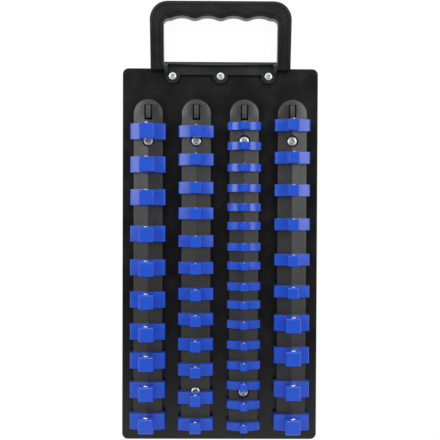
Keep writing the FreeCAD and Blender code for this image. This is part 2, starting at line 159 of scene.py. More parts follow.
def boolean(obj, others, operation):
    for other in others:
        modifier = obj.modifiers.new(operation.lower(), "BOOLEAN")
        modifier.object = other
        modifier.operation = operation
        modifier.solver = "EXACT"
    settle(obj)
    for other in others:
        bpy.data.objects.remove(other)
    return obj


def cut(obj, *others):
    return boolean(obj, others, "DIFFERENCE")


def join(obj, *others):
    return boolean(obj, others, "UNION")


# A cut leaves points as near to each other as this, and flat faces that differ by fewer degrees than this
CUT_WELD, LEVEL_ANGLE = 0.004 * MM, 0.6
# Turns that are gentler than this many degrees are shaded smooth on a softened piece
FLAT_ANGLE = 13


def clean(obj):
    """Join the flat pieces that a cut leaves, so that the rounding runs along whole edges."""
    skin = bmesh.new()
    skin.from_mesh(obj.data)
    bmesh.ops.remove_doubles(skin, verts=skin.verts, dist=CUT_WELD)
    bmesh.ops.dissolve_limit(skin, angle_limit=math.radians(LEVEL_ANGLE), verts=skin.verts, edges=skin.edges)
    skin.to_mesh(obj.data)
    skin.free()
    return obj


def shade(obj, angle):
    """Shade the turns that are gentler than an angle smooth, and keep the others sharp."""
    obj.data.shade_smooth()
    obj.data.set_sharp_from_angle(angle=math.radians(angle))
    return obj


def soften(obj, radius, segments=3, angle=32):
    """Round the edges that are sharper than an angle, and shade only the gentle turns smooth."""
    clean(obj)
    modifier = obj.modifiers.new("round", "BEVEL")
    modifier.width = radius * MM
    modifier.segments = segments
    modifier.limit_method = "ANGLE"
    modifier.angle_limit = math.radians(angle)
    return shade(settle(obj), FLAT_ANGLE)


def place_copy(name, source, offset):
    """A new object with its own mesh, moved by an offset in millimetres while its origin stays."""
    obj = bpy.data.objects.new(name, source.data.copy())
    obj.data.transform(Matrix.Translation(Vector(offset) * MM))
    bpy.context.scene.collection.objects.link(obj)
    return obj


def dress(obj, material):
    """Give an object one material all over."""
    obj.data.materials.clear()
    obj.data.materials.append(material)


# %% [markdown]
# Colours are written as the hex values that a picture editor shows, and one function turns them to the
# linear values that a shader needs. Every finish here is a real one: injection-moulded ABS for the panel
# and the handle, glass-filled nylon for the rails, polypropylene for the clips, and three kinds of steel.
# A moulded plastic gets its look from three things: its colour, the fine spark-eroded grain of the mould,
# which breaks up the reflection, and slow changes of gloss where the melt cooled at different speeds.

# %% Colour and shader helpers
def linear(code):
    """A shader colour from an sRGB hex code."""
    values = [int(code[i:i + 2], 16) / 255 for i in (1, 3, 5)]
    return [v / 12.92 if v <= 0.04045 else ((v + 0.055) / 1.055) ** 2.4 for v in values] + [1.0]


def add(tree, kind, settings=None, links=None):
    """One node with its settings and its links, given by socket name or number."""
    node = tree.nodes.new(kind)
    for key, value in (settings or {}).items():
        if isinstance(key, int) or key in node.inputs:
            node.inputs[key].default_value = value
        else:
            setattr(node, key, value)
    for key, source in (links or {}).items():
        tree.links.new(source, node.inputs[key])
    return node


def new_material(name):
    """An empty material with its shader, its output and its object coordinates."""
    material = bpy.data.materials.new(name)
    material.use_nodes = True
    tree = material.node_tree
    tree.nodes.clear()
    shader = add(tree, "ShaderNodeBsdfPrincipled")
    add(tree, "ShaderNodeOutputMaterial", links={"Surface": shader.outputs[0]})
    where = add(tree, "ShaderNodeTexCoord").outputs["Object"]
    return material, tree, shader, where


def per_mm(size):
    """A texture scale that gives one feature for each so many millimetres."""
    return 1 / (size * MM)


# %% Moulded plastics
# How strongly the grain shows, and how far the roughness wanders below and above its own value
GRAIN_STRENGTH, GLOSS_BELOW, GLOSS_ABOVE = 0.35, 0.05, 0.06


def moulded(name, dark, light, roughness, grain, grain_depth=0.006, flow=18, specular=0.5):
    """A moulded plastic: two near colours, a fine grain, and slow changes of gloss."""
    material, tree, shader, where = new_material(name)
    shader.inputs["Specular IOR Level"].default_value = specular
    slow = add(tree, "ShaderNodeTexNoise", {"Scale": per_mm(flow), "Detail": 3.0, "Roughness": 0.55},
               {"Vector": where})
    fine = add(tree, "ShaderNodeTexNoise", {"Scale": per_mm(grain), "Detail": 2.0, "Roughness": 0.6},
               {"Vector": where})
    tint = add(tree, "ShaderNodeMix", {"data_type": "RGBA", 6: linear(dark), 7: linear(light)},
               {0: slow.outputs["Fac"]})
    tree.links.new(tint.outputs[2], shader.inputs["Base Color"])
    gloss = add(tree, "ShaderNodeMapRange",
                {"From Min": 0.3, "From Max": 0.7, "To Min": roughness - GLOSS_BELOW,
                 "To Max": roughness + GLOSS_ABOVE}, {"Value": slow.outputs["Fac"]})
    tree.links.new(gloss.outputs[0], shader.inputs["Roughness"])
    bump = add(tree, "ShaderNodeBump", {"Strength": GRAIN_STRENGTH, "Distance": grain_depth * MM},
               {"Height": fine.outputs["Fac"]})
    tree.links.new(bump.outputs[0], shader.inputs["Normal"])
    return material


# The panel is black ABS from a textured mould: the grain is about 0.6 mm and gives it a soft sheen
panel_abs = moulded("black_moulded_abs", "#111112", "#161617", roughness=0.24, grain=0.6)
# The handle is the same ABS from a smoother mould, dulled a little by hands
handle_abs = moulded("black_handle_abs", "#1b1b1b", "#202021", roughness=0.26, grain=0.8, specular=0.25)
# The bracket is that ABS too, painted a shade paler: painted light that stands for the light it catches
bracket_abs_painted_lighter = moulded("black_bracket_abs", "#242424", "#2a2a2b", roughness=0.26, grain=0.8)
# The rails are dark grey glass-filled nylon, slippery and satin, with faint cloudy flow marks
rail_nylon = moulded("dark_grey_nylon", "#242424", "#292928", roughness=0.36, grain=0.5, flow=14, specular=0.62)
# The clips are blue polypropylene, coloured right through, with a semi-gloss skin
clip_polypropylene = moulded("blue_polypropylene", "#244ec2", "#2855c9", roughness=0.18, grain=0.7,
                             grain_depth=0.004, flow=9, specular=0.4)
print("plastics", panel_abs.name, handle_abs.name, rail_nylon.name, clip_polypropylene.name)


# %% [markdown]
# The screws are zinc-plated steel: bright and slightly blue, with a fine satin surface from the tumbling
# barrel. The balls are hardened bearing steel, polished almost to a mirror. Spring wire is drawn, so it
# is duller. A metal's colour is its reflection, so only its tint, its roughness and a little bump are set.

# %% Steels
# How strongly the marks show, how much darker they are, and how far the roughness swings with them
MARK_STRENGTH, MARK_SHADE, SMOOTHER, ROUGHER = 0.3, 0.86, 0.7, 1.3


def steel(name, colour, roughness, mark, depth):
    """A plain steel, with marks of a size and a depth in millimetres."""
    material, tree, shader, where = new_material(name)
    shader.inputs["Metallic"].default_value = 1.0
    marks = add(tree, "ShaderNodeTexNoise", {"Scale": per_mm(mark), "Detail": 4.0}, {"Vector": where})
    shaded = [v * MARK_SHADE for v in linear(colour)[:3]] + [1.0]
    tint = add(tree, "ShaderNodeMix", {"data_type": "RGBA", 6: linear(colour), 7: shaded},
               {0: marks.outputs["Fac"]})
    tree.links.new(tint.outputs[2], shader.inputs["Base Color"])
    gloss = add(tree, "ShaderNodeMapRange", {"To Min": roughness * SMOOTHER, "To Max": roughness * ROUGHER},
                {"Value": marks.outputs["Fac"]})
    tree.links.new(gloss.outputs[0], shader.inputs["Roughness"])
    bump = add(tree, "ShaderNodeBump", {"Strength": MARK_STRENGTH, "Distance": depth * MM},
               {"Height": marks.outputs["Fac"]})
    tree.links.new(bump.outputs[0], shader.inputs["Normal"])
    return material


zinc_steel = steel("zinc_plated_steel", "#dddfe3", roughness=0.42, mark=0.9, depth=0.01)
ball_steel = steel("polished_ball_steel", "#e9ebee", roughness=0.12, mark=1.5, depth=0.002)
spring_steel = steel("drawn_spring_wire", "#a9abb0", roughness=0.35, mark=0.4, depth=0.005)
pin_steel = steel("turned_pin_steel", "#b9bbc0", roughness=0.3, mark=0.5, depth=0.01)
print("steels", zinc_steel.name, ball_steel.name, spring_steel.name, pin_steel.name)

# %% [markdown]
# The panel is one moulding: a flat face on a skirt, open at the back. Round the face runs a border about
# two millimetres wide that lies a tenth of a millimetre lower, so that the face's own edge shows as one
# fine line. A skin like that is a loft: the same rounded rectangle at many insets and heights, from the
# hollow's ceiling down inside the skirt, round its foot, up outside, over the edge and across the border.

# %% Panel sizes
def box_mm(node):
    """A node's lowest and highest corners in millimetres."""
    return [[value / MM for value in corner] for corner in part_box(node)]


def middle(node, axis):
    low, high = box_mm(node)
    return (low[axis] + high[axis]) / 2


(_, PANEL_LOW, _), (PANEL_HALF, PANEL_HIGH, FACE) = box_mm("panel")
PANEL_WALL, PANEL_CORNER, SMALLEST_CORNER = 2.5, 5.0, 0.7
BORDER, BORDER_DROP, EDGE_ROLL, FOOT_ROLL, CEILING_ROLL = 1.95, 0.12, 0.3, 0.5, 0.6
# The rail screws' heads have this radius, and the ribs and bosses reach this far into the panel
HEAD_RADIUS, BITE = 4.6, 0.1
CEILING = FACE - PANEL_WALL
RAIL_X = [middle(f"rail_{number}", 0) for number in (1, 2, 3, 4)]
RAIL_SCREW_Y = (box_mm("rail_screws")[0][1] + HEAD_RADIUS, box_mm("rail_screws")[1][1] - HEAD_RADIUS)
EAR_Y, EAR_X = middle("handle_screws", 1), (-41.0, 0.0, 41.0)
print("panel", round(2 * PANEL_HALF, 2), "by", round(PANEL_HIGH - PANEL_LOW, 2), "mm")


def rounded_rectangle(inset, z):
    """The panel's outline moved inwards, at a level."""
    half_x = PANEL_HALF - inset
    low, high = PANEL_LOW + inset, PANEL_HIGH - inset
    radius = max(PANEL_CORNER - inset, SMALLEST_CORNER)
    ring = []
    for x, y, start in ((half_x - radius, high - radius, 0), (radius - half_x, high - radius, 90),
                        (radius - half_x, low + radius, 180), (half_x - radius, low + radius, 270)):
        ring += arc((x, y), radius, start, start + 90, 10)
    return [(x, y, z) for x, y in ring]


# %% Panel moulding
panel_profile = [(PANEL_WALL + CEILING_ROLL, CEILING), (PANEL_WALL + 0.17, CEILING - 0.18),
                 (PANEL_WALL, CEILING - CEILING_ROLL)]
panel_profile += [(PANEL_WALL, FOOT_ROLL), (PANEL_WALL - 0.15, 0.15), (PANEL_WALL - FOOT_ROLL, 0.0)]
panel_profile += [(FOOT_ROLL, 0.0), (0.15, 0.15), (0.0, FOOT_ROLL), (0.0, FACE - 0.5)]
panel_profile += rolled_edge(EDGE_ROLL, FACE - BORDER_DROP, (18, 36, 54, 72, 90))
panel_profile += [(1.2, FACE - BORDER_DROP), (BORDER, FACE - BORDER_DROP), (BORDER + 0.07, FACE), (4.5, FACE)]
panel_piece = loft("panel_moulding", [rounded_rectangle(inset, z) for inset, z in panel_profile])
dress(panel_piece, panel_abs)
shade(panel_piece, 19)
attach(panel_piece, "panel")
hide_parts("panel")
print("panel faces", len(panel_piece.data.polygons))

# %% [markdown]
# The back of the panel is stiffened by ribs and carries a screw boss under every screw. Both repeat, so
# Geometry Nodes make them. One tree sweeps a rectangle along the edges of a line drawing, and ends in
# Realize Instances and Set Material, because the export keeps only real faces.

# %% A tree that sweeps a rectangular rib along lines
def group_input(tree, name, kind, value=None):
    """A named input of a tree, and the identifier by which a modifier sets it."""
    socket = tree.interface.new_socket(name=name, in_out="INPUT", socket_type=kind)
    if value is not None:
        socket.default_value = value
    return socket.identifier


def finish_tree(tree, geometry, settings=None, links=None):
    """Make the geometry real and give it a material, from a setting or from a link."""
    real = add(tree, "GeometryNodeRealizeInstances", links={0: geometry})
    dressed = add(tree, "GeometryNodeSetMaterial", settings, {"Geometry": real.outputs[0], **(links or {})})
    tree.interface.new_socket(name="Geometry", in_out="OUTPUT", socket_type="NodeSocketGeometry")
    add(tree, "NodeGroupOutput", links={0: dressed.outputs[0]})


def apply_tree(obj, tree, values):
    """Run a tree on an object with the given values, and keep the plain mesh that it makes."""
    modifier = obj.modifiers.new(tree.name, "NODES")
    modifier.node_group = tree
    for identifier, value in values.items():
        modifier[identifier] = value
    return settle(obj)


rib_tree = bpy.data.node_groups.new("ribs_along_lines", "GeometryNodeTree")
group_input(rib_tree, "Lines", "NodeSocketGeometry")
rib_width = group_input(rib_tree, "Rib width", "NodeSocketFloat", 0.0016)
rib_height = group_input(rib_tree, "Rib height", "NodeSocketFloat", 0.005)
rib_in = add(rib_tree, "NodeGroupInput")
rib_curve = add(rib_tree, "GeometryNodeMeshToCurve", links={"Mesh": rib_in.outputs["Lines"]})
rib_section = add(rib_tree, "GeometryNodeCurvePrimitiveQuadrilateral", {},
                  {"Width": rib_in.outputs["Rib width"], "Height": rib_in.outputs["Rib height"]})
rib_sweep = add(rib_tree, "GeometryNodeCurveToMesh", {"Fill Caps": True},
                {"Curve": rib_curve.outputs[0], "Profile Curve": rib_section.outputs[0]})
finish_tree(rib_tree, rib_sweep.outputs[0], {"Material": panel_abs})

# %% Ribs on the panel's back
RIB_FOOT, RIB_WALL, RIB_MARGIN = 4.0, 1.6, 1.5
RIB_TOP = CEILING + BITE
rib_z = (RIB_FOOT + RIB_TOP) / 2
rib_ends = []
for x in RAIL_X:
    rib_ends.append(((x, PANEL_LOW + RIB_MARGIN, rib_z), (x, PANEL_HIGH - RIB_MARGIN, rib_z)))
for y in ((PANEL_LOW + PANEL_HIGH) / 2, *RAIL_SCREW_Y, EAR_Y):
    rib_ends.append(((RIB_MARGIN - PANEL_HALF, y, rib_z), (PANEL_HALF - RIB_MARGIN, y, rib_z)))
rib_mesh = bpy.data.meshes.new("panel_ribs")
rib_mesh.from_pydata([Vector(p) * MM for pair in rib_ends for p in pair],
                     [(2 * i, 2 * i + 1) for i in range(len(rib_ends))], [])
panel_ribs = bpy.data.objects.new("panel_ribs", rib_mesh)
bpy.context.scene.collection.objects.link(panel_ribs)
apply_tree(panel_ribs, rib_tree, {rib_width: RIB_WALL * MM, rib_height: (RIB_TOP - RIB_FOOT) * MM})
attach(panel_ribs, "panel")
print("ribs", len(rib_ends), "faces", len(panel_ribs.data.polygons))


# %% [markdown]
# Screws and bosses repeat at the same places. A second tree puts copies of one prototype on loose points
# and turns each copy by an angle stored on its point, because no two real screws stop at the same turn.

# %% A tree that puts a prototype on points
spot_tree = bpy.data.node_groups.new("prototype_on_points", "GeometryNodeTree")
group_input(spot_tree, "Points", "NodeSocketGeometry")
spot_piece = group_input(spot_tree, "Prototype", "NodeSocketObject")
spot_finish = group_input(spot_tree, "Finish", "NodeSocketMaterial")
spot_in = add(spot_tree, "NodeGroupInput")
spot_shape = add(spot_tree, "GeometryNodeObjectInfo", links={"Object": spot_in.outputs["Prototype"]})
spot_turn = add(spot_tree, "GeometryNodeInputNamedAttribute", {"data_type": "FLOAT", "Name": "turn"})
spot_angle = add(spot_tree, "ShaderNodeCombineXYZ", links={"Z": spot_turn.outputs["Attribute"]})
spot_copies = add(spot_tree, "GeometryNodeInstanceOnPoints", {},
                  {"Points": spot_in.outputs["Points"], "Instance": spot_shape.outputs["Geometry"],
                   "Rotation": spot_angle.outputs[0]})
finish_tree(spot_tree, spot_copies.outputs[0], links={"Material": spot_in.outputs["Finish"]})


def on_points(name, prototype, places, material):
    """Copies of a prototype at places in millimetres, each with its own turn, as one plain mesh."""
    mesh = bpy.data.meshes.new(name)
    mesh.from_pydata([Vector(place[:3]) * MM for place in places], [], [])
    turn = mesh.attributes.new("turn", "FLOAT", "POINT")
    for i, place in enumerate(places):
        turn.data[i].value = math.radians(place[3])
    obj = bpy.data.objects.new(name, mesh)
    bpy.context.scene.collection.objects.link(obj)
    apply_tree(obj, spot_tree, {spot_piece: prototype, spot_finish: material})
    bpy.data.objects.remove(prototype)
    return obj


# %% Screw bosses on the panel's back
BOSS_FOOT, BOSS_BEVEL, PILOT_WALL = 1.5, 0.4, 0.2


def boss(outer, hole):
    """A round boss that hangs from the hollow's ceiling, with a blind hole for the screw."""
    side = [(outer - BOSS_BEVEL, BOSS_FOOT), (outer, BOSS_FOOT + BOSS_BEVEL), (outer, RIB_TOP)]
    body = lathe("boss", side, 32)
    cut(body, lathe("pilot", [(hole, BOSS_FOOT - 1), (hole, CEILING - PILOT_WALL)], 24))
    return shade(body, 30)


rail_places = [(x, y, 0, 0) for x in RAIL_X for y in RAIL_SCREW_Y]
ear_places = [(x, EAR_Y, 0, 0) for x in EAR_X]
rail_bosses = on_points("rail_screw_bosses", boss(4.2, 2.02), rail_places, panel_abs)
ear_bosses = on_points("handle_screw_bosses", boss(3.95, 1.77), ear_places, panel_abs)
for piece in (rail_bosses, ear_bosses):
    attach(piece, "panel")

# %% [markdown]
# A rail is a long hollow bar. Its roof has a low ridge along the middle and a flange on each side for the
# clips to grip, its upper end is half round, and two saw cuts beside the middle free a spring tongue that
# keeps the clips on. The screws sit in round wells so that clips can pass over them. The bar is built as
# its section moved along the rail, then cut, then rounded by a small bevel.

# %% Rail sizes
(_, RAIL_LOW, _), (_, RAIL_HIGH, _) = box_mm("rail_1")
RAIL_HALF, RAIL_FOOT_HALF, RAIL_HOLLOW_HALF, RAIL_HOLLOW = 12.3, 8.5, 6.5, 5.0
# Levels over the panel's face, and the width of the strip along each side of the solid's roof
RIDGE, SHOULDER, EDGE, STRIP, UNDERSIDE = 8.5, 6.6, 6.3, 2.8, 4.1
# The clips' run ends at the tongue, and the roof turns into a slightly lower arch beyond it
RUN_HIGH = RAIL_HIGH - 16.25
ARCH_FROM, ARCH_TO, ARCH_DROP = RUN_HIGH + 0.3, RUN_HIGH + 5, 0.35
TONGUE_HALF, TONGUE_SLOT, TONGUE_LENGTH, TONGUE_RISE = 2.0, 1.25, 11.9, 0.9
WELL_RADIUS, WELL_FLOOR, SCREW_LAND, END_STOP = 5.1, 4.4, 7.5, 1.2
# Cutting tools begin and end well clear of the pieces
TOOL_LOW, TOOL_HIGH = FACE - 1, FACE + 12


def end_outline(half, low, high, steps=32):
    """A plan that is square at its foot and half round at its top end."""
    return [(-half, low), (half, low)] + arc((0, high - half), half, 0, 180, steps)


# %% One rail, then its four copies
def rail_roof(y, steps=12):
    """The roof's right half at a place along the rail: a straight gable, and an arch at the end."""
    share = min(max((y - ARCH_FROM) / (ARCH_TO - ARCH_FROM), 0), 1)
    points = []
    for i in range(steps + 1):
        x = RAIL_HALF * i / steps
        straight = RIDGE - (RIDGE - EDGE) * i / steps
        arched = RIDGE - ARCH_DROP - (RIDGE - ARCH_DROP - EDGE) * (i / steps) ** 2
        points.append((x, straight + (arched - straight) * share))
    return points


def make_rail():
    rings = []
    third = (ARCH_TO - ARCH_FROM) / 3
    levels = [(y, 0) for y in (RAIL_LOW, ARCH_FROM, ARCH_FROM + third, ARCH_TO - third, ARCH_TO, RAIL_HIGH - 4.4)]
    for y, drop in levels + [(RAIL_HIGH - 3.9, 0.03), (RAIL_HIGH, 0.5)]:
        half = [(x, z - drop) for x, z in rail_roof(y)] + [(RAIL_HALF, UNDERSIDE)]
        whole = half + [(-x, z) for x, z in reversed(half[1:])]
        rings.append([(x, y, FACE + z) for x, z in whole])
    body = loft("rail", rings)
    plan = end_outline(RAIL_HALF, RAIL_LOW - 1, RAIL_HIGH)
    boolean(body, [prism("plan", plan, "z", FACE, TOOL_HIGH)], "INTERSECT")
    foot_plan = end_outline(RAIL_FOOT_HALF, RAIL_LOW, RAIL_HIGH - RAIL_HALF + RAIL_FOOT_HALF)
    foot = prism("foot", foot_plan, "z", FACE, FACE + RAIL_HOLLOW)
    stop = box("stop", -RAIL_HALF, RAIL_HALF, RAIL_LOW, RAIL_LOW + END_STOP, FACE, FACE + UNDERSIDE + 0.5)
    join(body, foot, stop)
    tools = []
    ends = [RAIL_LOW + END_STOP]
    for y in RAIL_SCREW_Y:
        ends += [y - SCREW_LAND, y + SCREW_LAND]
        tools.append(lathe("well", [(WELL_RADIUS, FACE + WELL_FLOOR), (WELL_RADIUS, TOOL_HIGH)], 48, (0, y, 0)))
        tools.append(lathe("hole", [(2.2, TOOL_LOW), (2.2, TOOL_HIGH)], 24, (0, y, 0)))
    ends.append(RAIL_HIGH - RAIL_HALF)
    for y0, y1 in zip(ends[::2], ends[1::2]):
        tools.append(box("hollow", -RAIL_HOLLOW_HALF, RAIL_HOLLOW_HALF, y0, y1, TOOL_LOW, FACE + RAIL_HOLLOW))
    slot, y0, y1 = TONGUE_HALF + TONGUE_SLOT, RUN_HIGH - TONGUE_SLOT, RUN_HIGH + TONGUE_LENGTH
    tools.append(box("slot", -slot, slot, y0, y1, FACE + 4, TOOL_HIGH))
    cut(body, *tools)
    # The tongue's side view: it is thick at its free end, which stands above the ridge and stops the clips
    tip = FACE + RIDGE + TONGUE_RISE
    tongue = [(y1 + 0.3, FACE + 4.4), (y1 + 0.3, FACE + RIDGE - 1.1), (RUN_HIGH + 0.5, tip),
              (RUN_HIGH, tip - 0.3), (RUN_HIGH, FACE + 5.2), (RUN_HIGH + 4, FACE + 4.4)]
    join(body, prism("tongue", tongue, "x", -TONGUE_HALF, TONGUE_HALF))
    return soften(body, 0.22, 2)


rail_source = make_rail()
dress(rail_source, rail_nylon)
for number, x in enumerate(RAIL_X, start=1):
    rail_piece = place_copy(f"rail_moulding_{number}", rail_source, (x, 0, 0))
    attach(rail_piece, "panel")
    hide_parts(f"rail_{number}")
print("rail faces", len(rail_source.data.polygons))
bpy.data.objects.remove(rail_source)


# %% [markdown]
# The screws are pan heads with a cross recess. The head is turned on a lathe from its profile, and the
# recess is cut by two tapered bars. The shank is a plain lathe body, because the boss hides its thread.

# %% Screws
# Shares of a head's height at which its side ends, and of its radius that the dome and its flat top take
SIDE_SHARE, DOME_SHARE, FLAT_SHARE = 0.35, 0.42, 0.3
# Half the width and half the length of the recess's arms, as shares of the head's diameter
RECESS_ARM, RECESS_REACH = 0.085, 0.27


def screw_source(shank, length, head, height):
    """A screw with its seat at the origin, pointing down."""
    r = head / 2
    profile = [(0.4, -length), (shank / 2, -length + 1.6), (shank / 2, -0.01), (r - 0.25, 0), (r, 0.25)]
    profile += [(r, height * SIDE_SHARE)]
    for t in (20, 40, 60, 80):
        profile.append((r - (1 - math.cos(math.radians(t))) * r * DOME_SHARE,
                        height * (SIDE_SHARE + (1 - SIDE_SHARE) * math.sin(math.radians(t)))))
    profile.append((r * FLAT_SHARE, height))
    body = lathe("screw", profile, 40)
    reach, arm = head * RECESS_REACH, head * RECESS_ARM
    bars = []
    for crosswise in (False, True):
        rings = []
        for z, share in ((height * 0.3, 0.45), (height + 0.5, 1.08)):
            x, y = (arm, reach * share) if crosswise else (reach * share, arm)
            rings.append([(-x, -y, z), (x, -y, z), (x, y, z), (-x, y, z)])
        bars.append(loft("bar", rings))
    cut(body, *bars)
    return shade(body, 32)


rail_spots = [(x, y, FACE + WELL_FLOOR, 17 + 41 * i + 23 * j) for i, x in enumerate(RAIL_X)
              for j, y in enumerate(RAIL_SCREW_Y)]
rail_screw = screw_source(shank=4.0, length=13.5, head=2 * HEAD_RADIUS, height=2.9)
rail_screw_piece = on_points("rail_screw_set", rail_screw, rail_spots, zinc_steel)
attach(rail_screw_piece, "panel")
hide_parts("rail_screws")
BRACKET_FLOOR = 3.0
ear_spots = [(x, EAR_Y, FACE + BRACKET_FLOOR, 30 + 35 * i) for i, x in enumerate(EAR_X)]
ear_screw = screw_source(shank=3.5, length=11.0, head=7.1, height=2.3)
ear_screw_piece = on_points("handle_screw_set", ear_screw, ear_spots, zinc_steel)
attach(ear_screw_piece, "panel")
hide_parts("handle_screws")
print("screws", len(rail_spots) + len(ear_spots))

# %% [markdown]
# The bracket is a shallow moulding that the handle hinges on: a floor with three ears for its screws, a
# wall along the hinge line that bows slightly, and a rib at each end that holds a hinge pin. A low rim
# runs along its front and round the ears. Its section is moved across, a pocket is cut out of it, and the
# ears are joined on and dished.

# %% Bracket
HINGE_Y, HINGE_Z = middle("hinge_pins", 1), middle("hinge_pins", 2)
BARREL, EAR_TOP, RIM_WALL, END_RIB, HINGE_WALL, HINGE_BOW = 3.7, 3.5, 1.6, 3.1, 2.4, 0.7
BRACKET_HALF = box_mm("handle_bracket")[1][0]
EAR_RADIUS = EAR_Y - box_mm("handle_bracket")[0][1]
BRACKET_LOW = HINGE_Y - 7.2


def at_ears(name, profile, steps):
    """The same lathe body at each of the three ears."""
    return [lathe(name, profile, steps, (x, EAR_Y, 0)) for x in EAR_X]


def make_bracket():
    nose = arc((HINGE_Y, HINGE_Z), BARREL, -90, 90, 20)
    section = nose + [(HINGE_Y - 4.6, HINGE_Z + BARREL), (BRACKET_LOW, FACE + 4.6), (BRACKET_LOW, FACE),
                      (PANEL_HIGH - 4.4, FACE)]
    body = prism("bracket", section, "x", -BRACKET_HALF, BRACKET_HALF)
    wall_y, pocket = HINGE_Y + BARREL - HINGE_WALL, BRACKET_HALF - END_RIB
    across = [pocket - pocket * i / 12 for i in range(25)]
    bow = [(x, wall_y - HINGE_BOW * (1 - (x / pocket) ** 2)) for x in across]
    mouth = [(-pocket, BRACKET_LOW - 5), (pocket, BRACKET_LOW - 5)]
    cut(body, prism("pocket", bow + mouth, "z", FACE + BRACKET_FLOOR, TOOL_HIGH))
    rim_half = BRACKET_HALF - 0.2
    rim = box("rim", -rim_half, rim_half, BRACKET_LOW, BRACKET_LOW + RIM_WALL, FACE, FACE + EAR_TOP)
    join(body, rim, *at_ears("ear", [(EAR_RADIUS, FACE), (EAR_RADIUS, FACE + EAR_TOP)], 56))
    dish = [(EAR_RADIUS - 1.5, FACE + BRACKET_FLOOR), (EAR_RADIUS - 1.1, FACE + 9)]
    cut(body, *at_ears("dish", dish, 56), *at_ears("hole", [(1.95, TOOL_LOW), (1.95, FACE + 5)], 24))
    return soften(body, 0.4, 3)


bracket_piece = make_bracket()
bracket_piece.name = "bracket_moulding"
# The bracket wears the ABS whose colour is painted a shade paler, as painted light
dress(bracket_piece, bracket_abs_painted_lighter)
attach(bracket_piece, "panel")
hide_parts("handle_bracket")
print("bracket faces", len(bracket_piece.data.polygons))

# %% [markdown]
# The carry handle is a flat bow. Its outline has two splayed legs, large outer corners, small inner ones,
# and a grip with four finger grooves, which are arcs that meet in rounded tips. The outline is inset step
# by step while it rises, which rolls its edges over, and a fine groove sets the edge off from the flat
# middle. Then the side view is cut away: the lug at the foot of each leg turns about the hinge pin and
# has a small ledge, and the top of the grip is bevelled towards the hand.

# %% Handle outline
(_, _, HANDLE_BACK), (HANDLE_HALF, HANDLE_HIGH, HANDLE_FRONT) = box_mm("carry_handle")
LEG_WIDTH, SPLAY_OUT, SPLAY_IN = 11.65, 0.8, 0.45
OUTER_R, INNER_R = 15.8, 4.3
GRIP, GROOVE_DEPTH, GROOVES, TIP_SHARE = 15.2, 2.3, 4, 0.33
LINE, LINE_DEPTH, LINE_WIDTH, HANDLE_ROLL, BACK_ROLL = 2.8, 0.6, 0.7, 0.6, 0.8
GRIP_BEVEL, GRIP_FALL, BORE_RADIUS, BORE_END = 3.1, 3.1 * 0.55, 1.56, 54.8
HANDLE_FOOT = HINGE_Y - BARREL - 1.0
TURN_X = HANDLE_HALF - LEG_WIDTH - INNER_R


def tangent(point, centre, radius, side):
    """The angle in degrees at which a line from a point touches a circle."""
    dx, dy = point[0] - centre[0], point[1] - centre[1]
    return math.degrees(math.atan2(dy, dx) + side * math.acos(radius / math.hypot(dx, dy)))


def grip_wave():
    """The finger grooves from the middle of the right inner corner to that of the left one."""
    pitch = 2 * TURN_X / GROOVES
    tip_y = HANDLE_HIGH - GRIP
    reach = (pitch ** 2 / 4 + GROOVE_DEPTH ** 2) / (2 * GROOVE_DEPTH)
    tip_r = reach * TIP_SHARE
    groove_r = reach - tip_r
    swing = math.degrees(math.asin(pitch / 2 / reach))
    points = []
    for i in range(GROOVES + 1):
        x = TURN_X - i * pitch
        first = -90 if i == 0 else -90 + swing
        last = -90 if i == GROOVES else -90 - swing
        points += arc((x, tip_y + tip_r), tip_r, first, last, 8)
        if i < GROOVES:
            groove = (x - pitch / 2, tip_y + GROOVE_DEPTH - groove_r)
            points += arc(groove, groove_r, 90 - swing, 90 + swing, 14)[1:-1]
    return points


def handle_outline():
    """The bow's outline, anticlockwise from the right foot."""
    leg_x = HANDLE_HALF - LEG_WIDTH - SPLAY_IN
    lug_x = HANDLE_HALF - SPLAY_OUT
    inner_y = HANDLE_HIGH - GRIP - INNER_R
    outer = (HANDLE_HALF - OUTER_R, HANDLE_HIGH - OUTER_R)
    touch_out = tangent((lug_x, HINGE_Y), outer, OUTER_R, 1)
    touch_in = tangent((leg_x, HINGE_Y), (TURN_X, inner_y), INNER_R, 1)
    right_out = [(leg_x, HANDLE_FOOT), (lug_x, HANDLE_FOOT), (lug_x, HINGE_Y)]
    right_out += arc(outer, OUTER_R, touch_out, 90, 20)
    right_in = [(leg_x, HINGE_Y)] + arc((TURN_X, inner_y), INNER_R, touch_in, 90, 10)
    left_out = [(-x, y) for x, y in reversed(right_out)]
    left_in = [(-x, y) for x, y in right_in]
    wave = list(reversed(grip_wave()))
    return right_out + left_out + left_in[:-1] + wave + list(reversed(right_in[:-1]))


def inset(outline, amount):
    """The outline moved inwards by an amount, along the normals of its points."""
    count = len(outline)
    moved = []
    for i, (x, y) in enumerate(outline):
        ax, ay = outline[i - 1]
        bx, by = outline[(i + 1) % count]
        first = Vector((y - ay, ax - x)).normalized()
        second = Vector((by - y, x - bx)).normalized()
        normal = (first + second).normalized()
        stretch = 1 / max(normal.dot(first), 0.5)
        moved.append((x - normal.x * amount * stretch, y - normal.y * amount * stretch))
    return moved


